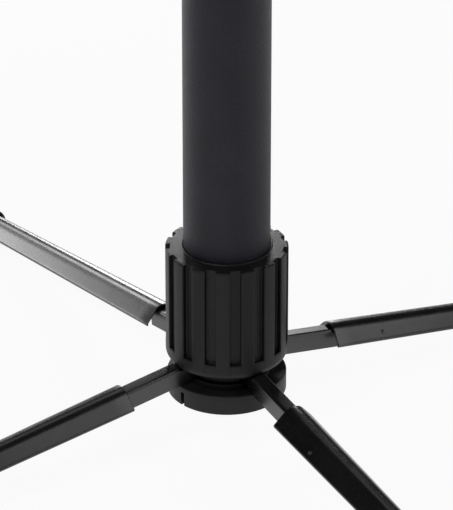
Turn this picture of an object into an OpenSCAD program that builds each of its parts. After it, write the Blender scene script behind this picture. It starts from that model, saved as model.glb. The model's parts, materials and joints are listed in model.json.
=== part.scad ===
// Folding trumpet stand: four pressed-steel legs hinge in a hub, a ribbed union sleeve turns on the column
// and screws down on the hub to clamp them, and a moulded cone on top of the column takes the bell.
// Unscrewed, the column lifts off, the legs fold up, and the bundle fits inside the column for transport.
// Legs lie along +X, +Y, -X and -Y. Z = 0 is the floor, and the column stands on the Z axis.

/* [Column] */
// Outer diameter of the column tube
tube_d = 25; // [24.5:0.5:27]
// Wall of the column tube
tube_wall = 1; // [0.8:0.1:1.5]
// Length of the column tube
tube_len = 160; // [150:1:220]

/* [Legs] */
// Slope of a spread leg below the horizontal, in degrees
leg_slope = 8.6; // [5:0.1:10]
// Distance of each hinge pin from the column's axis
hinge_r = 7.8; // [7.8:0.1:8.1]
// Diameter of the hinge pins
pin_d = 2.4; // [2:0.1:2.6]
// Width of a leg bar
bar_w = 4.6; // [3.8:0.1:4.8]
// Height of a leg bar
bar_h = 5.8; // [5:0.1:5.8]
// Sheet of a leg bar
bar_sheet = 1.1; // [0.8:0.1:1.4]
// Length of a leg bar between its pin and the channel's mouth
bar_reach = 27.4; // [26.5:0.1:34]
// Length of the bar's tongue inside the channel
tongue_len = 24; // [21:1:40]
// Width of a leg channel at its mouth
channel_w = 10.8; // [9.8:0.1:11]
// Height of a leg channel
channel_h = 5.8; // [5.6:0.1:5.8]
// Sheet of a leg channel
channel_sheet = 0.6; // [0.4:0.1:0.6]
// Length of a leg channel
channel_len = 120; // [90:1:126]
// Height of the channel's centre line above the bar's
channel_rise = 0.7; // [0.7:0.05:0.9]
// Width of a leg channel at its outer end, as a share of its mouth's
channel_taper = 0.8; // [0.65:0.01:0.85]
// Distance of the stake from the channel's mouth, on the leg's right-hand side
stake_x = 16; // [8:0.5:20]
// Diameter of the stake
stake_d = 2; // [1.6:0.1:3]

/* [Locking sleeve] */
// Thickness of the sleeve from the tube to the top of its ribs
sleeve_wall = 5.2; // [4.6:0.1:7]
// Height of the sleeve
sleeve_h = 35.8; // [34:0.2:42]
// Number of finger grooves round the sleeve
groove_count = 15; // [10:1:18]
// Width of a finger groove
groove_w = 3.1; // [2:0.05:4.5]
// Depth of a finger groove
groove_depth = 1.5; // [0.8:0.1:1.6]
// Height of the plain band below the grooves
band_h = 5.2; // [3.5:0.1:8]
// How far the sleeve rises when it is unscrewed
lift = 12; // [12:1:16]

/* [Base cap] */
// Diameter of the hub's flange and its base cap
cap_d = 34.6; // [32:0.2:42]
// Height of the base cap
cap_h = 4.4; // [3.6:0.1:6]
// Thickness of the hub's flange above the base cap
flange_h = 1.7; // [1.2:0.1:3]
// Diameter of the base cap's centre screw
screw_d = 4; // [3:0.5:4]

/* [Bell cone] */
// Diameter of the cone at its foot
cone_d = 39; // [36:1:50]
// Diameter of the cone's nose
nose_d = 20; // [19:1:24]
// Height of the cone
cone_h = 84; // [70:1:110]
// Number of flutes round the cone
flute_count = 8; // [4:1:12]

/* [Hidden] */
$fn = 96;

black = [0.10, 0.10, 0.11];
dark_grey = [0.17, 0.17, 0.18];
steel = [0.62, 0.62, 0.64];

// Clearances
running_gap = 0.05;
press_gap = 0.02;
clear_gap = 0.3;

// Hinge pins and the slot round each bar
pin_len = 12.4;
fork_gap = 0.25;
slot_w = bar_w + 2 * fork_gap;
slot_from = hinge_r - bar_h / 2 - clear_gap;

// Tongue and stake
tongue_in = 5;
tongue_top = channel_rise + channel_h / 2 - channel_sheet - 0.2;
pocket_half = channel_w / 2 - channel_sheet - bar_sheet;
stake_rise = 1;
stake_inset = 0.15;

// Feet: the floor cuts each foot's sole flat
foot_wall = 0.8;
foot_grip = 12;
foot_end = 2;
foot_below = 0.9;
sole_len = 5.5;
channel_from = bar_reach;
channel_to = bar_reach + channel_len;
channel_low = channel_rise - channel_h / 2;
foot_drop = foot_below - channel_low;
sole_x = channel_to + foot_end - sole_len;
sole_w = 5;
end_w = channel_w * channel_taper;
taper_angle = atan(channel_w / 2 * (1 - channel_taper) / channel_len);

// Heights from the floor up
hinge_z = sin(leg_slope) * sole_x + cos(leg_slope) * foot_drop;
cap_top = hinge_z - (cap_d / 2 - hinge_r) * tan(leg_slope) - bar_h / 2 / cos(leg_slope) - 0.05;
split_z = cap_top - flange_h;
cap_z = split_z - cap_h;
boss_h = 1.5;
boss_d = 25.6;
neck_d = 23;
core_z = hinge_z + 3;
tube_z = hinge_z + 20;
tube_top = tube_z + tube_len;
spigot_top = tube_z + 3;
clamp_z = cap_top + 5;

// Seat on each bar for the sleeve's foot
seat_from = 4;
seat_to = (cap_d / 2 - hinge_r) / cos(leg_slope);
seat_gap = 0.05;

// Sleeve, slip ring and bush
sleeve_d = tube_d + 2 * sleeve_wall;
core_d = tube_d + 2.8;
bore_d = core_d + 2 * running_gap;
bush_len = 11;
ring_h = 1.5;
ring_d = core_d - 0.2;
ring_z = tube_z + bush_len;
lip_z = ring_z + ring_h;
crown_h = 0.5;
sleeve_fillet = 2.7;
edge_round = 0.4;
groove_turn = 6.3;

// Fasteners
bush_screw_d = 2.5;
thread_len = 15;
head_d = 7;
head_h = 2;
flat_washer_d = 8;
flat_washer_h = 0.6;
counterbore_d = flat_washer_d + 0.5;
counterbore_h = head_h + flat_washer_h + 0.1;
web_h = 2.6;

// Grip notches in the base cap's side
notch_turn = 10.3;
notch_w = 1.4;
notch_depth = 1.2;

// Radius of the base cap's web, inside the four slots
web_r = slot_from - 1;

// Cone
cone_z = tube_top - 52;
cone_wall = 2.2;
socket_wall = 2;
insert_flange = 2;
insert_len = 20;
nose_floor = 10;
nose_round = 4;
cone_screw_d = 5;
cone_head_d = 9;
cone_head_h = 3;

// ---------- Shared shapes ----------

// Puts a leg's own frame at its hinge: X out along the leg, Y along the pin, Z up.
module on_leg(turn) {
    rotate([0, 0, turn])
        translate([hinge_r, 0, hinge_z])
            rotate([0, leg_slope, 0])
                children();
}

// Extrudes a section drawn as (across, up) along a leg, from one distance to another.
module along_leg(from, to) {
    translate([from, 0, 0])
        rotate([90, 0, 90])
            linear_extrude(to - from)
                children();
}

// All that lies inside one tapering side of a leg channel, its round shoulder and its top, grown by some
// amount. An inner form, which is grown by less than zero, runs on below the channel's open edge.
module channel_side(grow, below) {
    shoulder = channel_w * 0.34 + grow;
    top = channel_h / 2 + grow;
    low = -channel_h / 2 - below;
    wide = 2 * channel_w;
    translate([channel_from, channel_w / 2, channel_rise])
        rotate([0, 0, -taper_angle])
            along_leg(-4, channel_len + 4)
                intersection() {
                    union() {
                        translate([grow - shoulder, top - shoulder])
                            circle(shoulder);
                        translate([-wide, low])
                            square([wide + grow, top - shoulder - low]);
                        translate([-wide, low])
                            square([wide + grow - shoulder, top - low]);
                    }
                    translate([-wide, low])
                        square([2 * wide, 2 * channel_h]);
                }
}

module channel_form(grow, below) {
    intersection() {
        channel_side(grow, below);
        mirror([0, 1, 0])
            channel_side(grow, below);
    }
}

// Keeps what lies between two distances along a leg.
module leg_stretch(from, to) {
    intersection() {
        children();
        translate([from, -channel_w, -2 * channel_h])
            cube([to - from, 2 * channel_w, 4 * channel_h]);
    }
}

// Bore across a leg, for its hinge pin.
module across_leg(x, z, d, length) {
    translate([x, 0, z])
        rotate([90, 0, 0])
            cylinder(d = d, h = length, center = true);
}

// Round bar out through a leg's right-hand side, for the stake and its hole.
module stake_bar() {
    translate([bar_reach + stake_x, 0.3 - pocket_half, channel_rise + stake_rise])
        rotate([90, 0, 0])
            cylinder(d = stake_d, h = channel_w);
}

// Four slots that the leg bars swing in, between two heights.
module bar_slots(low, high) {
    for (turn = [0:90:270])
        rotate([0, 0, turn])
            translate([slot_from, -slot_w / 2, low])
                cube([cap_d, slot_w, high - low]);
}

// Four keyhole channels, open below, that the hinge pins are pushed up into.
module pin_channels() {
    depth = hinge_z - split_z + 1;
    for (turn = [0:90:270])
        rotate([0, 0, turn])
            translate([hinge_r, pin_len / 2, hinge_z])
                rotate([90, 0, 0])
                    linear_extrude(pin_len) {
                        circle(d = pin_d);
                        translate([-pin_d / 2, -depth])
                            square([pin_d, depth]);
                    }
}

module ring(outer, inner, height) {
    difference() {
        cylinder(d = outer, h = height);
        translate([0, 0, -1])
            cylinder(d = inner, h = height + 2);
    }
}

// ---------- Column ----------

module column_tube() {
    color(black)
        difference() {
            translate([0, 0, tube_z])
                ring(tube_d, tube_d - 2 * tube_wall, tube_len);
            bush_bore();
        }
}

module bush_bore() {
    translate([0, 0, tube_z + bush_len / 2])
        rotate([90, 0, 45])
            cylinder(d = bush_screw_d, h = 2 * tube_d, center = true);
}

module tube_bush() {
    color(dark_grey)
        difference() {
            translate([0, 0, tube_z])
                ring(core_d, tube_d + 2 * press_gap, bush_len);
            bush_bore();
        }
}

// Two grub screws, flush with the bush outside and with the tube's wall inside.
module bush_screws() {
    from = tube_d / 2 - tube_wall + 0.1;
    to = core_d / 2 - 0.2;
    color(steel)
        for (turn = [45, 225])
            translate([0, 0, tube_z + bush_len / 2])
                rotate([90, 0, turn])
                    translate([0, 0, from])
                        cylinder(d = bush_screw_d, h = to - from);
}

module slip_ring() {
    color(steel)
        translate([0, 0, ring_z])
            ring(ring_d, tube_d + 2 * clear_gap, ring_h);
}

// ---------- Hub ----------

// Half section of the hub core: flange, stepped boss, neck, threaded core, and spigot into the tube.
module core_profile() {
    square([cap_d / 2 - edge_round, flange_h]);
    square([cap_d / 2, flange_h - edge_round]);
    translate([cap_d / 2 - edge_round, flange_h - edge_round])
        circle(edge_round);
    square([boss_d / 2, flange_h + boss_h]);
    square([neck_d / 2, tube_z - split_z]);
    translate([0, core_z - split_z])
        square([core_d / 2, tube_z - core_z]);
    square([tube_d / 2 - tube_wall - running_gap, spigot_top - split_z]);
}

module hub_core() {
    color(dark_grey)
        difference() {
            translate([0, 0, split_z])
                rotate_extrude()
                    core_profile();
            bar_slots(cap_top, spigot_top + 1);
            pin_channels();
            translate([0, 0, split_z - 1])
                cylinder(r = web_r + press_gap, h = web_h + 1);
            translate([0, 0, split_z])
                cylinder(d = screw_d, h = hinge_z + thread_len - 5 - split_z);
        }
}

// Closes the hub from below: its pads hold the hinge pins up, and its web takes the centre screw.
module base_cap() {
    low_round = 0.5;
    color(dark_grey)
        difference() {
            union() {
                translate([0, 0, cap_z])
                    rotate_extrude() {
                        square([cap_d / 2 - low_round, cap_h]);
                        translate([0, low_round])
                            square([cap_d / 2, cap_h - low_round]);
                        translate([cap_d / 2 - low_round, low_round])
                            circle(low_round);
                    }
                translate([0, 0, split_z - 1])
                    cylinder(r = web_r, h = web_h + 1);
                pin_pads();
            }
            translate([0, 0, cap_z - 1])
                cylinder(d = screw_d + 0.5, h = cap_h + web_h + 2);
            translate([0, 0, cap_z - 1])
                cylinder(d = counterbore_d, h = counterbore_h + 1);
            for (turn = [0:90:270])
                rotate([0, 0, turn + notch_turn])
                    translate([cap_d / 2 - notch_depth, -notch_w / 2, cap_z - 1])
                        cube([notch_depth + 1, notch_w, cap_h + 2]);
        }
}

module pin_pads() {
    pad_from = slot_w / 2 + 0.3;
    pad_to = pin_len / 2 - 0.2;
    for (turn = [0:90:270])
        for (side = [0, 1])
            rotate([0, 0, turn])
                mirror([0, side, 0])
                    translate([hinge_r - pin_d / 2 + 0.1, pad_from, split_z - 1])
                        cube([pin_d - 0.2, pad_to - pad_from, hinge_z - pin_d / 2 - split_z + 1]);
}

module base_washer() {
    color(steel)
        translate([0, 0, cap_z + counterbore_h - flat_washer_h])
            ring(flat_washer_d, screw_d + 0.4, flat_washer_h);
}

module base_screw() {
    head_top = cap_z + counterbore_h - flat_washer_h;
    color(steel)
        difference() {
            union() {
                translate([0, 0, head_top - head_h])
                    cylinder(d = head_d, h = head_h);
                translate([0, 0, head_top])
                    cylinder(d = screw_d, h = hinge_z + thread_len - 6 - head_top);
            }
            translate([0, 0, head_top - head_h - 1])
                cylinder(d = 3, h = 2.2, $fn = 6);
        }
}

module hinge_pin(turn) {
    color(steel)
        rotate([0, 0, turn])
            translate([hinge_r, 0, hinge_z])
                rotate([90, 0, 0])
                    cylinder(d = pin_d, h = pin_len - 0.2, center = true);
}

// ---------- Locking sleeve ----------

// Half section of the sleeve: crowned top with a lip at the tube, round foot, and a bore for the core.
module sleeve_profile() {
    outer = sleeve_d / 2;
    lip_r = tube_d / 2 + running_gap;
    side_top = sleeve_h - crown_h - edge_round;
    difference() {
        union() {
            square([outer - sleeve_fillet, side_top]);
            translate([0, sleeve_fillet])
                square([outer, side_top - sleeve_fillet]);
            translate([outer - sleeve_fillet, sleeve_fillet])
                circle(sleeve_fillet);
            translate([outer - edge_round, side_top])
                circle(edge_round);
            polygon([[0, side_top - 1], [outer - edge_round, side_top - 1],
                     [outer - edge_round, side_top + edge_round], [lip_r + 0.8, sleeve_h],
                     [0, sleeve_h]]);
        }
        translate([-1, -1])
            square([lip_r + 1, sleeve_h + 2]);
        translate([0, -1])
            square([bore_d / 2, lip_z - clamp_z + 1]);
    }
}

module locking_sleeve() {
    color(black)
        translate([0, 0, clamp_z])
            difference() {
                rotate_extrude()
                    sleeve_profile();
                for (i = [0:groove_count - 1])
                    rotate([0, 0, groove_turn + i * 360 / groove_count])
                        translate([sleeve_d / 2 - groove_depth, -groove_w / 2, band_h])
                            cube([groove_depth + 1, groove_w, sleeve_h]);
            }
}

// ---------- Legs ----------

// Outline of a leg bar, with round top edges.
module bar_section() {
    bend = 1;
    translate([-bar_w / 2, -bar_h / 2])
        square([bar_w, bar_h - bend]);
    translate([-bar_w / 2 + bend, 0])
        square([bar_w - 2 * bend, bar_h / 2]);
    for (side = [-1, 1])
        translate([side * (bar_w / 2 - bend), bar_h / 2 - bend])
            circle(bend);
}

// A solid eye round the pin, a bar folded to an inverted U, and a tongue spread out inside the channel.
module leg_bar(turn) {
    eye_to = seat_to + 1;
    color(black)
        on_leg(turn)
            difference() {
                union() {
                    along_leg(0, bar_reach + tongue_in + 1)
                        bar_section();
                    rotate([90, 0, 0])
                        cylinder(d = bar_h, h = bar_w, center = true);
                    tongue();
                }
                along_leg(eye_to, bar_reach + tongue_len + 1)
                    translate([-bar_w / 2 + bar_sheet, -bar_h])
                        square([bar_w - 2 * bar_sheet, 1.5 * bar_h - bar_sheet]);
                sleeve_seat();
                across_leg(0, 0, pin_d + 2 * running_gap, 2 * bar_w);
                stake_bar();
            }
}

// Cuts the bar level with the floor where the sleeve's foot comes down on it.
module sleeve_seat() {
    rotate([0, -leg_slope, 0])
        translate([seat_from, -bar_w, clamp_z - seat_gap - hinge_z])
            cube([seat_to - seat_from, 2 * bar_w, bar_h]);
}

// The bar's end, spread out to the channel's sides and hollow below.
module tongue() {
    wide = channel_w / 2;
    from = bar_reach + tongue_in;
    to = bar_reach + tongue_len;
    roof = bar_h / 2 - bar_sheet;
    intersection() {
        channel_form(-channel_sheet - press_gap, 1);
        difference() {
            translate([0, 0, -roof])
                linear_extrude(roof + tongue_top)
                    polygon([[from, -bar_w / 2], [from + 3, -wide], [to, -wide], [to, wide],
                             [from + 3, wide], [from, bar_w / 2]]);
            translate([from + 1, -pocket_half, -bar_h])
                cube([tongue_len, 2 * pocket_half, bar_h + roof]);
        }
    }
}

module leg_channel(turn) {
    color(dark_grey)
        on_leg(turn)
            difference() {
                leg_stretch(channel_from, channel_to)
                    channel_form(0, 0);
                channel_form(-channel_sheet, 1);
                stake_bar();
            }
}

// Set in a little from the channel's side, with its inner end in the tongue's hollow.
module leg_stake(turn) {
    color(black)
        on_leg(turn)
            intersection() {
                stake_bar();
                channel_form(-stake_inset, 1);
            }
}

// Rubber cap over the channel's end, with a plug inside it and its sole cut flat by the floor.
module foot(turn) {
    plug_w = end_w - 2 * channel_sheet - 0.3;
    color(black)
        on_leg(turn)
            difference() {
                intersection() {
                    channel_form(foot_wall, foot_below);
                    foot_plan();
                    along_leg(channel_to - foot_grip, channel_to + foot_end)
                        polygon([[-channel_w / 2, channel_low], [-sole_w / 2, channel_low - foot_below],
                                 [sole_w / 2, channel_low - foot_below], [channel_w / 2, channel_low],
                                 [channel_w / 2, channel_h], [-channel_w / 2, channel_h]]);
                }
                leg_stretch(channel_to - foot_grip - 1, channel_to + running_gap)
                    difference() {
                        channel_form(running_gap, running_gap);
                        translate([0, -plug_w / 2, channel_rise - channel_h])
                            cube([channel_to + 1, plug_w, channel_h + 0.2]);
                    }
                translate([sole_x, 0, -foot_drop])
                    rotate([0, -leg_slope, 0])
                        translate([-50, -50, -20])
                            cube([100, 100, 20]);
            }
}

// Outline of a foot from above, with a round outer end.
module foot_plan() {
    half = channel_w / 2;
    corner = 2.5;
    end = channel_to + foot_end;
    inner = end_w / 2 + foot_wall - corner;
    translate([0, 0, -2 * channel_h])
        linear_extrude(4 * channel_h) {
            translate([channel_to - foot_grip, -half])
                square([foot_grip + foot_end - corner, 2 * half]);
            translate([end - corner - 1, -inner])
                square([corner + 1, 2 * inner]);
            for (side = [-1, 1])
                translate([end - corner, side * inner])
                    circle(corner);
        }
}

// ---------- Bell cone ----------

// Half section under a shallow arc from the cone's foot to its nose, moved in by some amount.
module cone_profile(inset) {
    foot_r = cone_d / 2;
    fall = foot_r - nose_d / 2;
    arc_r = (cone_h * cone_h + fall * fall) / 2 / fall;
    intersection() {
        translate([foot_r - arc_r, 0])
            circle(arc_r - inset, $fn = 360);
        square([foot_r, cone_h]);
    }
}

module cone_outside() {
    difference() {
        rotate_extrude()
            intersection() {
                cone_profile(0);
                union() {
                    square([cone_d, cone_h - nose_round]);
                    square([nose_d / 2 - nose_round, cone_h]);
                    translate([nose_d / 2 - nose_round, cone_h - nose_round])
                        circle(nose_round);
                }
            }
        flutes();
    }
}

// Shallow flutes up the cone, each a round cutter leaning with the cone's side.
module flutes() {
    flute_r = 4;
    flute_depth = 0.8;
    low = 10;
    high = cone_h - 12;
    lean = atan((side_r(low) - side_r(high)) / (high - low));
    for (i = [0:flute_count - 1])
        rotate([0, 0, (i + 0.5) * 360 / flute_count])
            translate([side_r(low) + flute_r - flute_depth, 0, low])
                rotate([0, -lean, 0]) {
                    cylinder(r = flute_r, h = (high - low) / cos(lean));
                    sphere(flute_r);
                    translate([0, 0, (high - low) / cos(lean)])
                        sphere(flute_r);
                }
}

// Radius of the cone's side at a height above its foot.
function side_r(z) =
    let (fall = cone_d / 2 - nose_d / 2)
    let (arc_r = (cone_h * cone_h + fall * fall) / 2 / fall)
    cone_d / 2 - arc_r + sqrt(arc_r * arc_r - z * z);

module bell_cone() {
    seat = tube_top + insert_flange - cone_z;
    socket_r = tube_d / 2 + running_gap;
    color(black)
        translate([0, 0, cone_z])
            difference() {
                union() {
                    difference() {
                        cone_outside();
                        translate([0, 0, -1])
                            rotate_extrude()
                                intersection() {
                                    cone_profile(cone_wall);
                                    square([cone_d, seat - 6]);
                                }
                    }
                    intersection() {
                        cone_outside();
                        union() {
                            cylinder(r = socket_r + socket_wall, h = seat);
                            for (turn = [0:90:270])
                                rotate([0, 0, turn])
                                    translate([socket_r, -1, 3])
                                        cube([cone_d, 2, seat]);
                        }
                    }
                }
                translate([0, 0, -1])
                    cylinder(r = socket_r, h = seat + 1);
                cylinder(d = cone_screw_d + 0.5, h = cone_h);
                translate([0, 0, seat + nose_floor])
                    cylinder(d = cone_head_d + 1, h = cone_h);
            }
}

module cone_insert() {
    color(dark_grey)
        difference() {
            union() {
                translate([0, 0, tube_top])
                    cylinder(d = tube_d, h = insert_flange);
                translate([0, 0, tube_top - insert_len])
                    cylinder(d = tube_d - 2 * tube_wall - 2 * press_gap, h = insert_len);
            }
            translate([0, 0, tube_top - insert_len - 1])
                cylinder(d = cone_screw_d + 2 * press_gap, h = insert_len + insert_flange + 2);
        }
}

module cone_screw() {
    seat = tube_top + insert_flange + nose_floor;
    color(steel)
        difference() {
            union() {
                translate([0, 0, seat])
                    cylinder(d = cone_head_d, h = cone_head_h);
                translate([0, 0, seat - nose_floor - insert_len + 4])
                    cylinder(d = cone_screw_d, h = nose_floor + insert_len - 4);
            }
            translate([0, 0, seat + 1])
                cylinder(d = 4, h = cone_head_h, $fn = 6);
        }
}

column_tube();
cone_insert();
bell_cone();
cone_screw();
locking_sleeve();
slip_ring();
tube_bush();
bush_screws();
hub_core();
base_cap();
base_washer();
base_screw();
hinge_pin(0);  // hinge_pin_right
hinge_pin(90);  // hinge_pin_back
hinge_pin(180);  // hinge_pin_left
hinge_pin(270);  // hinge_pin_front
leg_bar(0);  // leg_bar_right
leg_bar(90);  // leg_bar_back
leg_bar(180);  // leg_bar_left
leg_bar(270);  // leg_bar_front
leg_channel(0);  // leg_channel_right
leg_channel(90);  // leg_channel_back
leg_channel(180);  // leg_channel_left
leg_channel(270);  // leg_channel_front
leg_stake(0);  // leg_stake_right
leg_stake(90);  // leg_stake_back
leg_stake(180);  // leg_stake_left
leg_stake(270);  // leg_stake_front
foot(0);  // foot_right
foot(90);  // foot_back
foot(180);  // foot_left
foot(270);  // foot_front
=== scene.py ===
import bmesh
import bpy
import json
import math
import numpy as np
from functools import cached_property
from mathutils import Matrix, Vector


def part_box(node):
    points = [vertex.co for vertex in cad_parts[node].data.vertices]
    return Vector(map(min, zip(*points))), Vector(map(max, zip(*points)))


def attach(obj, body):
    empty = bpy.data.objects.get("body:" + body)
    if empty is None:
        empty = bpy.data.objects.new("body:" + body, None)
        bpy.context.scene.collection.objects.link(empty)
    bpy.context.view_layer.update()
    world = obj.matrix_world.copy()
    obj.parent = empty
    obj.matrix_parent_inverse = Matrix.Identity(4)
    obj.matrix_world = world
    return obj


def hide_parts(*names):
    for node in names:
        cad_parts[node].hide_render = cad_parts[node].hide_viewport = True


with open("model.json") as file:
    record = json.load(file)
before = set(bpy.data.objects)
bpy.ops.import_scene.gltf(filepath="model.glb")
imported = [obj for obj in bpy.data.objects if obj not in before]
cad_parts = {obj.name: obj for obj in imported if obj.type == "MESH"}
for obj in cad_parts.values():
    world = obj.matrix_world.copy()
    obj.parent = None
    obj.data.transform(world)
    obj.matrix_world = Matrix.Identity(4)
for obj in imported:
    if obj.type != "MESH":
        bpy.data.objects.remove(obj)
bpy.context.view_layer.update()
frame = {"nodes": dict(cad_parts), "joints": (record.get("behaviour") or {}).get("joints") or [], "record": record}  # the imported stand, in metres, standing on Z = 0 with the column on the Z axis
mm = 0.001


# A node's output that can be added, subtracted and multiplied, and turned into a soft step.
class Value:
    def __init__(self, shader, socket):
        self.shader = shader
        self.socket = socket

    def math(self, operation, other):
        return self.shader.node("ShaderNodeMath", {"operation": operation}, [self, other])

    def __add__(self, other):
        return self.math("ADD", other)

    __radd__ = __add__

    def __mul__(self, other):
        return self.math("MULTIPLY", other)

    __rmul__ = __mul__

    def __sub__(self, other):
        return self.math("SUBTRACT", other)

    def __rsub__(self, other):
        return self.math("MULTIPLY", -1.0) + other

    def rise(self, low, high):  # 0 below low, 1 above high, smooth between
        settings = {"interpolation_type": "SMOOTHSTEP", "clamp": True}
        return self.shader.node("ShaderNodeMapRange", settings, {0: self, 1: low, 2: high})


# The nodes of a material or of the world, its owner. Each is made by node(), from its type, its settings and
# the values or links of its sockets.
class Shader:
    def __init__(self, owner, surface="Principled BSDF"):
        owner.use_nodes = True
        self.owner = owner
        self.tree = owner.node_tree
        self.surface = self.tree.nodes[surface]

    @cached_property
    def place(self):  # object coordinates
        return self.node("ShaderNodeTexCoord", output="Object")

    def node(self, kind, settings=None, inputs=None, output=0):
        made = self.tree.nodes.new(kind)
        for key, value in (settings or {}).items():
            setattr(made, key, value)
        pairs = inputs.items() if isinstance(inputs, dict) else enumerate(inputs or [])
        for key, value in pairs:
            self.feed(made.inputs[key], value)
        return Value(self, made.outputs[output])

    def feed(self, target, value):
        if isinstance(value, Value):
            self.tree.links.new(value.socket, target)
        else:
            target.default_value = value

    def set(self, **values):
        for key, value in values.items():
            self.feed(self.surface.inputs[key.replace("_", " ")], value)

    def scaled(self, x, y, z):  # object coordinates, stretched
        return self.node("ShaderNodeMapping", {}, {"Vector": self.place, "Scale": (x, y, z)})

    def noise(self, size, detail=2.0, rough=0.5, place=None):  # 0 to 1, with grains about size metres wide
        inputs = {"Vector": place or self.place, "Scale": 1 / size, "Detail": detail, "Roughness": rough}
        return self.node("ShaderNodeTexNoise", {}, inputs)

    def cells(self, size):  # distance to the nearest of the grains, 0 to about 1
        return self.node("ShaderNodeTexVoronoi", {}, {"Vector": self.place, "Scale": 1 / size})

    def mix(self, factor, low, high):  # a colour between two
        return self.node("ShaderNodeMix", {"data_type": "RGBA"}, {0: factor, 6: low, 7: high}, output=2)

    def bump(self, height, distance):
        return self.node("ShaderNodeBump", {}, {"Strength": 1.0, "Distance": distance, "Height": height})

    def axis(self, name):
        return self.node("ShaderNodeSeparateXYZ", {}, [self.place], output="XYZ".index(name))


def newMaterial(name):
    return Shader(bpy.data.materials.new(name))


def grey(level, blue=1.0):
    return (level, level, level * blue, 1)


# Each finish runs from a dark to a pale tone. Depth is its bumps' height, and shine its specular level.
coatLook = {
    "dark": 0.007, "pale": 0.018, "blue": 1.7, "grain": 0.4 * mm, "pimple": 0.64 * mm, "speck": 0.5 * mm,
    "cloud": 14 * mm, "depth": 0.1 * mm, "rough": 0.46, "shine": 0.38,
}


def columnCoat():
    look = coatLook
    s = newMaterial("powderCoat")
    grain = s.noise(look["grain"], 2.0, 0.6)
    pimple = s.cells(look["pimple"])
    cloud = s.noise(look["cloud"], 3.0)
    speck = s.noise(look["speck"], 1.0).rise(0.66, 0.74)  # a few glints where the powder stands up
    tone = (grain * 0.6 + cloud * 0.4).rise(0.3, 0.7)
    s.set(Base_Color=s.mix(tone, grey(look["dark"], look["blue"]), grey(look["pale"], look["blue"])))
    s.set(Roughness=look["rough"] + grain * 0.12 - speck * 0.14, Specular_IOR_Level=look["shine"])
    s.set(Normal=s.bump(grain * 0.7 + pimple * 0.5, look["depth"]))
    return s.owner


# The plastics differ in tone, grain and gloss, and share the rest. Pits are measured in grains.
plasticLook = {"pit": 1.3, "cloud": 6 * mm, "scuffSize": 1.4 * mm, "scuffStretch": 0.18}
sleeveLook = {
    "dark": 0.0085, "pale": 0.0125, "grain": 0.34 * mm, "depth": 0.06 * mm, "rough": 0.38, "scuff": 0.08,
    "shine": 0.28,
}
capLook = {
    "dark": 0.0105, "pale": 0.019, "grain": 0.36 * mm, "depth": 0.06 * mm, "rough": 0.42, "scuff": 0.1,
    "shine": 0.34,
}
hubLook = {
    "dark": 0.008, "pale": 0.014, "grain": 0.4 * mm, "depth": 0.05 * mm, "rough": 0.46, "scuff": 0.08,
    "shine": 0.36,
}
coneLook = {
    "dark": 0.010, "pale": 0.015, "grain": 0.45 * mm, "depth": 0.05 * mm, "rough": 0.42, "scuff": 0.1,
    "shine": 0.4,
}


def mouldedPlastic(name, look):
    shared = plasticLook
    s = newMaterial(name)
    grain = s.noise(look["grain"], 3.0, 0.65)
    pit = s.cells(look["grain"] * shared["pit"])
    cloud = s.noise(shared["cloud"], 3.0)
    scuff = s.noise(shared["scuffSize"], 4.0, 0.7, s.scaled(1, 1, shared["scuffStretch"])).rise(0.62, 0.78)
    tone = (cloud * 0.7 + grain * 0.3).rise(0.32, 0.68)
    s.set(Base_Color=s.mix(tone, grey(look["dark"], 1.05), grey(look["pale"], 1.08)))
    s.set(Roughness=look["rough"] + grain * 0.14 - scuff * look["scuff"], Specular_IOR_Level=look["shine"])
    s.set(Normal=s.bump(grain + pit * 0.6, look["depth"]))
    return s.owner


enamelLook = {
    "dark": 0.003, "pale": 0.005, "peel": 1.1 * mm, "fine": 0.25 * mm, "cloud": 9 * mm, "depth": 0.006 * mm,
    "rough": 0.2, "shine": 1.0,
}


def legEnamel():
    look = enamelLook
    s = newMaterial("legEnamel")
    peel = s.noise(look["peel"], 2.0)
    fine = s.noise(look["fine"], 2.0)
    cloud = s.noise(look["cloud"], 4.0)
    s.set(Base_Color=s.mix(cloud.rise(0.35, 0.7), grey(look["dark"], 1.04), grey(look["pale"], 1.06)))
    s.set(Roughness=look["rough"] + cloud * 0.1 + fine * 0.06, Specular_IOR_Level=look["shine"])
    s.set(Normal=s.bump(peel + fine * 0.35, look["depth"]))
    return s.owner


steelLook = {
    "dark": 0.34, "pale": 0.56, "brush": 0.35 * mm, "stretch": 0.2, "cloud": 3 * mm, "depth": 0.02 * mm,
    "rough": 0.28,
}


def bareSteel():
    look = steelLook
    s = newMaterial("zincPlate")
    brush = s.noise(look["brush"], 3.0, 0.7, s.scaled(look["stretch"], look["stretch"], 1))
    cloud = s.noise(look["cloud"], 3.0)
    s.set(Base_Color=s.mix(cloud, grey(look["dark"], 1.02), grey(look["pale"], 1.03)), Metallic=1.0)
    s.set(Roughness=look["rough"] + brush * 0.16, Normal=s.bump(brush, look["depth"]))
    return s.owner


rubberLook = {
    "dark": 0.011, "pale": 0.019, "grain": 0.5 * mm, "dust": 5 * mm, "depth": 0.07 * mm, "rough": 0.66,
}


def footRubber():
    look = rubberLook
    s = newMaterial("footRubber")
    grain = s.noise(look["grain"], 4.0, 0.7)
    dust = s.noise(look["dust"], 4.0).rise(0.5, 0.8)
    s.set(Base_Color=s.mix(dust * 0.6 + grain * 0.4, grey(look["dark"]), grey(look["pale"])))
    s.set(Roughness=look["rough"] + dust * 0.14, Normal=s.bump(grain, look["depth"]))
    return s.owner


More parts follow.
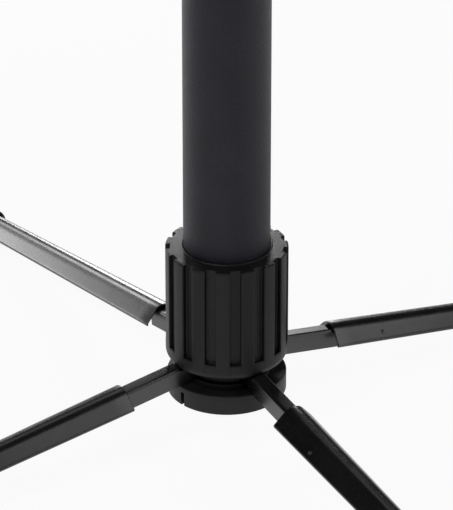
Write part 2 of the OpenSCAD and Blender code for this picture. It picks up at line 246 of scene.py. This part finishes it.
finishes = {
    "column_coat": columnCoat(),
    "sleeve_plastic": mouldedPlastic("sleevePlastic", sleeveLook),
    "cap_plastic": mouldedPlastic("capPlastic", capLook),
    "hub_plastic": mouldedPlastic("hubPlastic", hubLook),
    "cone_plastic": mouldedPlastic("conePlastic", coneLook),
    "leg_enamel": legEnamel(),
    "bare_steel": bareSteel(),
    "foot_rubber": footRubber(),
}
for subpart in frame["record"]["subparts"]:
    node = frame["nodes"][subpart["node"]]
    node.data.materials.clear()
    node.data.materials.append(finishes[subpart["material_slot"]])
print("finishes on", len(frame["nodes"]), "nodes")


sharpAngle = 32  # degrees between two faces, past which new pieces are shaded with an edge


# Four corners for each face between a row of points and the next, where the columns close round.
def gridFaces(rows, columns, lastRow):
    r, c = np.meshgrid(np.arange(lastRow), np.arange(columns), indexing="ij")
    nextR, nextC = (r + 1) % rows, (c + 1) % columns
    here, above = r * columns, nextR * columns
    return np.stack([here + c, here + nextC, above + nextC, above + c], -1).reshape(-1, 4)


# A grid of points, rows by columns, made a mesh. The columns close round. The rows do too, unless the first
# and the last are capped.
def gridPiece(name, points, slot, capped=False):
    rows, columns = points.shape[:2]
    faces = gridFaces(rows, columns, rows - 1 if capped else rows).tolist()
    if capped:
        faces += [list(range(columns))[::-1], list(range((rows - 1) * columns, rows * columns))]
    mesh = bpy.data.meshes.new(name)
    mesh.from_pydata(points.reshape(-1, 3).tolist(), [], faces)
    form = bmesh.new()
    form.from_mesh(mesh)
    bpy.data.meshes.remove(mesh)
    return formPiece(name, form, slot)


def formPiece(name, form, slot):
    bmesh.ops.recalc_face_normals(form, faces=form.faces)  # outwards
    mesh = bpy.data.meshes.new(name)
    form.to_mesh(mesh)
    form.free()
    mesh.shade_smooth()
    mesh.set_sharp_from_angle(angle=math.radians(sharpAngle))
    mesh.materials.append(finishes[slot])
    piece = bpy.data.objects.new(name, mesh)
    bpy.context.scene.collection.objects.link(piece)
    return piece


# Points of an arc, from one angle to another, in degrees.
def arc(x, y, radius, start, end, count):
    turn = np.radians(np.linspace(start, end, count))
    return np.stack([x + radius * np.cos(turn), y + radius * np.sin(turn)], -1)


# The locking sleeve has ribs with rounded edges over a plain band with a round foot, and a thin lip, the
# bead, round the tube.
sleeve = {
    "grooves": 15, "turn": 6.3, "width": 3.1 * mm, "depth": 1.5 * mm, "band": 5.2 * mm,
    "fillet": 2.7 * mm, "topEdge": 0.5 * mm, "topLean": 82, "crown": 0.5 * mm,
    "ribEdge": 0.32 * mm, "floorEdge": 0.28 * mm, "bead": 0.32 * mm, "beadStart": 20,
    "hollow": (0.12 * mm, -0.1 * mm),  # from the bead's outer edge to the crown's inner one
    "bore": 13.95 * mm, "boreTop": 31.92 * mm, "lipBore": 12.55 * mm, "boreEdge": 0.3 * mm,
}


# Half of one period of the ribbed outline, from the groove's middle to the rib's middle: a flat floor, a
# small hollow corner, a straight wall, a small round edge, then the round side. Mirrored and repeated.
def ribOutline(radius):
    s = sleeve
    floor, half, edge, corner = radius - s["depth"], s["width"] / 2, s["ribEdge"], s["floorEdge"]
    flatY = np.linspace(0, half - corner, 5)
    flat = np.stack([floor + 0 * flatY, flatY], -1)
    hollow = arc(floor + corner, half - corner, corner, 180, 90, 5)[1:]
    rimX = math.sqrt((radius - edge) ** 2 - (half + edge) ** 2)  # centre of the rib's round edge
    lean = math.degrees(math.atan2(half + edge, rimX))
    rim = arc(rimX, half + edge, edge, -90, lean, 6)
    side = arc(0, 0, radius, lean, 180 / s["grooves"], 7)[1:]
    line = np.concatenate([flat, hollow, rim, side])
    turn, reach = np.arctan2(line[:, 1], line[:, 0]), np.hypot(line[:, 0], line[:, 1])
    period = 2 * math.pi / s["grooves"]
    turn = np.concatenate([-turn[::-1], turn[1:-1]])  # the rib's middle belongs to one period only
    reach = np.concatenate([reach[::-1], reach[1:-1]])
    starts = np.radians(s["turn"]) + period * np.arange(s["grooves"])
    return (starts[:, None] + turn[None, :]).ravel(), np.tile(reach, s["grooves"])


# Rows of the sleeve, up its outside and down its bore: outer radius, height above its foot, and hold, how
# far out a groove's floor is held there, which is past the side below the ledge and nothing above it.
def sleeveRows(radius, height):
    s = sleeve
    fillet, top, ledge = s["fillet"], height - s["crown"] - s["topEdge"], s["band"]
    floor, edge, corner = radius - s["depth"], s["ribEdge"], s["floorEdge"]
    footX, footY = arc(radius - fillet, fillet, fillet, -90, 0, 14).T
    rimX, rimY = arc(radius - edge, ledge - edge, edge, 0, 90, 6).T
    shelf = np.linspace(radius - edge, floor + corner, 4)[1:]
    hollowX, hollowY = arc(floor + corner, ledge + corner, corner, -90, -180, 5)[1:].T
    side = np.linspace(ledge + corner, top, 9)[1:]
    topEdge = arc(radius - s["topEdge"], top, s["topEdge"], 0, s["topLean"], 7)[1:]
    bead = arc(s["lipBore"] + s["bead"], height - s["bead"], s["bead"], s["beadStart"], 180, 11)
    crown = np.linspace(topEdge[-1], bead[0] + s["hollow"], 7)[1:]
    boreX = np.array([s["lipBore"], s["bore"], s["bore"]])
    boreY = np.array([s["boreTop"], s["boreTop"], s["boreEdge"]])
    bands = [
        (s["bore"] + s["boreEdge"], [0], 2 * radius), (footX, footY, 2 * radius), (radius, rimY, rimX),
        (radius, ledge, shelf), (radius, hollowY, hollowX), (radius, side, 0), (*topEdge.T, 0),
        (*crown.T, 0), (*bead.T, 0), (boreX, boreY, 0),
    ]
    return np.concatenate([np.stack(np.broadcast_arrays(*band), -1) for band in bands])


# Radius at (row, column) is the row's own, or the outline's where that is less, but never less than the
# row's hold. That gives walls to the grooves and a ledge at their feet.
def makeSleeve():
    low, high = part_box("locking_sleeve")
    turn, reach = ribOutline(high.x)
    rows = sleeveRows(high.x, high.z - low.z)
    outer, height, hold = rows[:, 0:1], rows[:, 1:2], rows[:, 2:3]
    radius = np.minimum(outer, np.maximum(reach[None, :], hold))
    points = np.stack([radius * np.cos(turn), radius * np.sin(turn), low.z + height + 0 * radius], -1)
    piece = gridPiece("ribbedSleeve", points, "sleeve_plastic")
    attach(piece, "sleeve")
    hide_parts("locking_sleeve")


makeSleeve()
print("sleeve made")


# Each leg is a sheet channel like a roof over its bar, with a round ridge and turned-in edges, its hems.
# Half widths and heights are from the line that runs out from the hinge. Ridge is the ridge's radius as a
# share of the half width, and rows are the points along the length, without those of the rims.
channel = {
    "slope": 8.6, "reach": 27.4 * mm, "long": 120 * mm, "mouthHalf": 7.2 * mm, "endHalf": 5.2 * mm,
    "mouthTop": 4.3 * mm, "endTop": 3.6 * mm, "low": -1.5 * mm, "ridge": 0.6, "hem": 0.75 * mm,
    "hemTurn": 80, "sheet": 0.6 * mm, "rimStart": 20,
    "crownPoints": 12, "wallPoints": 6, "hemPoints": 9, "rows": 22,
}
# The tongue is the bar's end, spread under the channel, and stops some points short of the hem's end.
tongue = {"start": 2.5 * mm, "end": 24 * mm, "gap": 0.02 * mm, "sheet": 1.1 * mm, "short": 11}
bar = {"cut": 4 * mm, "edge": 0.3 * mm, "edgeAngle": 40, "weld": 0.001 * mm}
stake = {"out": 16.8 * mm, "radius": 0.65 * mm, "dome": 0.3 * mm, "stem": 1.2 * mm, "flat": 8}
legNames = ["right", "back", "left", "front"]
hinges = {joint["child"]: Vector(joint["pos_m"]) for joint in frame["joints"] if "leg" in joint["child"]}


# Turns (along, across, up) in a leg's own frame into the stand's.
def onLeg(name, along, across, up):
    hinge = hinges["leg_" + name]
    turn, slope = math.atan2(hinge.y, hinge.x), math.radians(channel["slope"])
    out = along * math.cos(slope) + up * math.sin(slope)
    rise = up * math.cos(slope) - along * math.sin(slope)
    x = out * math.cos(turn) - across * math.sin(turn)
    y = out * math.sin(turn) + across * math.cos(turn)
    return np.stack([hinge.x + x, hinge.y + y, hinge.z + rise], -1)


# Half width and ridge height of the channel at some distance from its mouth.
def channelSize(along):
    c = channel
    share = along / c["long"]
    half = c["mouthHalf"] + (c["endHalf"] - c["mouthHalf"]) * share
    return half, c["mouthTop"] + (c["endTop"] - c["mouthTop"]) * share


# Right half of the channel's outer face, from its ridge to its turned-in edge: points and outward normals.
# The wall touches the ridge's arc, and would reach the half width at the low edge if it had no hem.
def roofLine(half, top):
    c = channel
    low, hem, ridge = c["low"], c["hem"], c["ridge"] * half
    middle = top - ridge
    lean = math.atan2(half, low - middle) - math.acos(ridge / math.hypot(half, middle - low))
    crown = np.linspace(0, lean, c["crownPoints"])
    bend = lean + np.radians(np.linspace(0, c["hemTurn"], c["hemPoints"]))
    corner = half - hem * (1 + math.cos(lean)) / math.sin(lean)
    crownLine = np.stack([ridge * np.sin(crown), middle + ridge * np.cos(crown)], -1)
    hemLine = np.stack([corner + hem * np.sin(bend), low + hem + hem * np.cos(bend)], -1)
    wall = np.linspace(crownLine[-1], hemLine[0], c["wallPoints"] + 2)[1:-1]
    turn = np.concatenate([crown, np.full(c["wallPoints"], lean), bend])
    return np.concatenate([crownLine, wall, hemLine]), np.stack([np.sin(turn), np.cos(turn)], -1)


# Closed outline of a sheet that lies some skin below the channel's outer face: its outside, a round edge,
# its inside and the other round edge. Thick goes from 0 to 1, and short leaves points off at the edges.
def sheetOutline(size, skin, sheet, thick, short):
    points, normals = roofLine(*size)
    count = len(points) - short
    points = np.concatenate([points[count - 1:0:-1] * (-1, 1), points[:count]])
    normals = np.concatenate([normals[count - 1:0:-1] * (-1, 1), normals[:count]])
    line, reach = points - normals * (skin + sheet / 2), sheet / 2 * thick
    spin = np.radians(np.linspace(0, 180, 7)[1:-1])[:, None]
    ahead = np.array([normals[-1, 1], -normals[-1, 0]])
    right = line[-1] + reach * (np.cos(spin) * normals[-1] + np.sin(spin) * ahead)
    left = right[::-1] * (-1, 1)
    return np.concatenate([line + normals * reach, right, (line - normals * reach)[::-1], left])


# A tapering sheet between two distances from the mouth, with round rims at both ends.
def sheetPiece(label, name, start, end, skin, sheet, short=0):
    rim = np.radians(np.linspace(channel["rimStart"], 90, 5))
    lip = sheet / 2 * (math.cos(rim[0]) - np.cos(rim))
    middle = np.linspace(start + lip[-1], end - lip[-1], channel["rows"] + 2)[1:-1]
    along = np.concatenate([start + lip, middle, (end - lip)[::-1]])
    thick = np.concatenate([np.sin(rim), np.ones(channel["rows"]), np.sin(rim)[::-1]])
    rows = [sheetOutline(channelSize(at), skin, sheet, much, short) for at, much in zip(along, thick)]
    section = np.stack(rows)
    out = channel["reach"] + along[:, None] + 0 * section[..., 0]
    points = onLeg(name, out, section[..., 0], section[..., 1])
    piece = gridPiece(label + name, points, "leg_enamel", capped=True)
    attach(piece, "leg_" + name)
    return piece


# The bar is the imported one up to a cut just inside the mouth, with its edges rounded.
def makeBar(name):
    b = bar
    node = frame["nodes"]["leg_bar_" + name]
    form = bmesh.new()
    form.from_mesh(node.data)
    form.transform(node.matrix_world)
    bmesh.ops.remove_doubles(form, verts=form.verts, dist=b["weld"])
    hinge, cut = onLeg(name, np.array([0, channel["reach"] + b["cut"]]), 0, 0)
    geometry = form.verts[:] + form.edges[:] + form.faces[:]
    bmesh.ops.bisect_plane(form, geom=geometry, plane_co=cut, plane_no=cut - hinge, clear_outer=True)
    rim = [edge for edge in form.edges if edge.is_boundary]
    bmesh.ops.holes_fill(form, edges=rim)
    piece = formPiece("pressedBar_" + name, form, "leg_enamel")
    bevel = piece.modifiers.new("softEdges", "BEVEL")
    bevel.width, bevel.segments, bevel.limit_method = b["edge"], 3, "ANGLE"
    bevel.angle_limit = math.radians(b["edgeAngle"])
    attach(piece, "leg_" + name)
    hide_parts("leg_bar_" + name)


# A small domed rivet through the middle of the channel's right-hand wall, square to it. Its flat top is left
# by an arc that starts a few degrees from its axis.
def makeStake(name):
    t = stake
    points, normals = roofLine(*channelSize(t["out"]))
    middle = channel["crownPoints"] + channel["wallPoints"] // 2
    rise = np.radians(np.linspace(t["flat"], 90, 7))
    reach = np.concatenate([t["radius"] * np.sin(rise), [t["radius"]]])
    height = np.concatenate([t["dome"] * np.cos(rise), [-t["stem"]]])
    spin = np.linspace(0, 2 * math.pi, 25)[:-1]
    side = reach[:, None] * np.cos(spin)
    across = points[middle, 0] + height[:, None] * normals[middle, 0] + side * normals[middle, 1]
    up = points[middle, 1] + height[:, None] * normals[middle, 1] - side * normals[middle, 0]
    out = channel["reach"] + t["out"] + reach[:, None] * np.sin(spin)
    piece = gridPiece("domedStake_" + name, onLeg(name, out, -across, up), "leg_enamel", capped=True)
    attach(piece, "leg_" + name)
    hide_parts("leg_stake_" + name)


for legName in legNames:
    rolled = sheetPiece("rolledChannel_", legName, 0, channel["long"], 0, channel["sheet"])
    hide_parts("leg_channel_" + legName)
    skin = channel["sheet"] + tongue["gap"]
    sheetPiece("tongue_", legName, tongue["start"], tongue["end"], skin, tongue["sheet"], tongue["short"])
    makeBar(legName)
    makeStake(legName)
print("legs made")


# The camera looks down on the sleeve from the front left, from a little over a metre away.
view = {
    "turn": 32.01, "away": 1010.8 * mm, "high": 595.5 * mm, "down": 28.038, "aside": -0.08 * mm,
    "lens": 282.35, "farthest": 20,
}

# Shown is how near to white the camera sees the floor, and glow how pale reflections see it. Reflections
# also see a band of painted shadow to the camera's right, at the level given next, fading in and out over
# the two spans after it, in metres to the camera's left.
studio = {
    "floor": 0.9, "radius": 9.0, "middle": 0.05, "curve": 0.3, "wall": 0.35, "world": 0.02, "shown": 0.93,
    "glow": 0.8, "paintedShadow": 0.25, "paintedShadowFrom": (-0.17, -0.12), "paintedShadowTo": (-0.08, -0.045),
}


# A round floor that curves up into a low wall: radius grows with the first parameter, and height from the
# curve on. A fan of faces closes its middle.
def makeFloor():
    u = studio
    flat = np.linspace(u["middle"], u["radius"], 24)
    curve = arc(u["radius"], u["curve"], u["curve"], -90, 0, 12)[1:]
    rows = np.concatenate([np.stack([flat, 0 * flat], -1), curve, [[u["radius"] + u["curve"], u["wall"]]]])
    turn = np.linspace(0, 2 * math.pi, 97)[:-1]
    points = np.stack([rows[:, :1] * np.cos(turn), rows[:, :1] * np.sin(turn), rows[:, 1:] + 0 * turn], -1)
    rowCount, columns = points.shape[:2]
    faces = gridFaces(rowCount, columns, rowCount - 1)[:, ::-1].tolist()  # facing up
    faces += [[rowCount * columns, k, (k + 1) % columns] for k in range(columns)]
    mesh = bpy.data.meshes.new("floor")
    mesh.from_pydata(points.reshape(-1, 3).tolist() + [(0, 0, 0)], [], faces)
    mesh.shade_smooth()
    mesh.materials.append(paleFloor())
    floor = bpy.data.objects.new("floor", mesh)
    bpy.context.scene.collection.objects.link(floor)


# Matt and pale, and shown near white to the camera, with part of the object's shadow kept. Reflections see
# it pale too, but for a band of painted shadow to the right of the object.
def paleFloor():
    u = studio
    s = newMaterial("paleFloor")
    s.set(Base_Color=s.mix(s.noise(40 * mm, 3.0), grey(u["floor"] - 0.01), grey(u["floor"])))
    s.set(Roughness=0.9, Specular_IOR_Level=0.1)
    white = s.node("ShaderNodeEmission", {}, {"Color": (1, 1, 1, 1), "Strength": 1.0})
    seen = s.node("ShaderNodeLightPath", output="Is Camera Ray")
    mirrored = s.node("ShaderNodeLightPath", output="Is Glossy Ray")
    turn = math.radians(view["turn"])
    left = s.axis("Y") * math.sin(turn) - s.axis("X") * math.cos(turn)
    # painted shadow: a band of the floor, to the object's right, that reflections see darker
    paintedShadowBand = left.rise(*u["paintedShadowFrom"]) - left.rise(*u["paintedShadowTo"])
    share = seen * u["shown"] + mirrored * (u["glow"] - paintedShadowBand * (u["glow"] - u["paintedShadow"]))
    mixed = s.node("ShaderNodeMixShader", {}, {0: share, 1: Value(s, s.surface.outputs[0]), 2: white})
    s.feed(s.tree.nodes["Material Output"].inputs["Surface"], mixed)
    return s.owner


# White to the camera, and nearly dark to everything else.
def makeWorld():
    dark = studio["world"]
    world = bpy.data.worlds.new("studio")
    bpy.context.scene.world = world
    s = Shader(world, "Background")
    seen = s.node("ShaderNodeLightPath", output="Is Camera Ray")
    s.set(Color=(1, 1, 1, 1), Strength=seen * (1 - dark) + dark)


# Turn and rise are a lamp's direction from the hub, in degrees from +X and above the floor.
lamps = {
    "keyBox": {"turn": 200, "rise": 52, "away": 1.7, "size": (0.5, 0.5), "power": 7},
    "backStrip": {"turn": 102, "rise": 6, "away": 0.72, "size": (0.6, 0.14), "power": 1.5},
    "backBox": {"turn": 56, "rise": 27, "away": 1.8, "size": (0.45, 0.24), "power": 3.7},
    "backGlow": {"turn": 95, "rise": 21, "away": 1.0, "size": (0.6, 0.26), "power": 0.45},
    "crownStrip": {"turn": 60, "rise": 13, "away": 0.9, "size": (0.15, 0.2), "power": 1.5},
    "ridgeStrip": {"turn": 88, "rise": 27, "away": 0.9, "size": (0.18, 0.14), "power": 0.6},
    "frontBox": {"turn": -50, "rise": 43, "away": 1.6, "size": (1.1, 0.7), "power": 3.2},
    "hemStrip": {"turn": -60, "rise": 18, "away": 1.2, "size": (0.2, 0.5), "power": 1.0},
    "crownBox": {"turn": 50, "rise": 67, "away": 1.4, "size": (0.6, 0.3), "power": 0.55},
    "rightStrip": {"turn": 8, "rise": 6, "away": 0.9, "size": (0.35, 0.12), "power": 0.7},
}


def makeLamps():
    for name, lamp in lamps.items():
        light = bpy.data.lights.new(name, "AREA")
        light.shape = "RECTANGLE"
        light.size, light.size_y = lamp["size"]
        light.energy = lamp["power"]
        holder = bpy.data.objects.new(name, light)
        turn, rise = math.radians(lamp["turn"]), math.radians(lamp["rise"])
        toLamp = Vector((math.cos(rise) * math.cos(turn), math.cos(rise) * math.sin(turn), math.sin(rise)))
        holder.location = toLamp * lamp["away"]
        holder.rotation_euler = (-toLamp).to_track_quat("-Z", "Y").to_euler()
        holder.visible_camera = False
        bpy.context.scene.collection.objects.link(holder)


def makeCamera():
    v = view
    turn, down = math.radians(v["turn"]), math.radians(v["down"])
    ahead = Vector((math.sin(turn), math.cos(turn), 0))
    aside = Vector((math.cos(turn), -math.sin(turn), 0))
    camera = bpy.data.objects.new("camera", bpy.data.cameras.new("camera"))
    camera.location = -ahead * v["away"] + aside * v["aside"] + Vector((0, 0, v["high"]))
    aim = ahead * math.cos(down) - Vector((0, 0, math.sin(down)))
    camera.rotation_euler = aim.to_track_quat("-Z", "Y").to_euler()
    camera.data.lens = v["lens"]
    camera.data.sensor_width = 36
    camera.data.clip_end = v["farthest"]
    bpy.context.scene.collection.objects.link(camera)
    bpy.context.scene.camera = camera


makeFloor()
makeWorld()
makeLamps()
makeCamera()
bpy.context.scene.view_settings.view_transform = "Standard"
print("studio made")
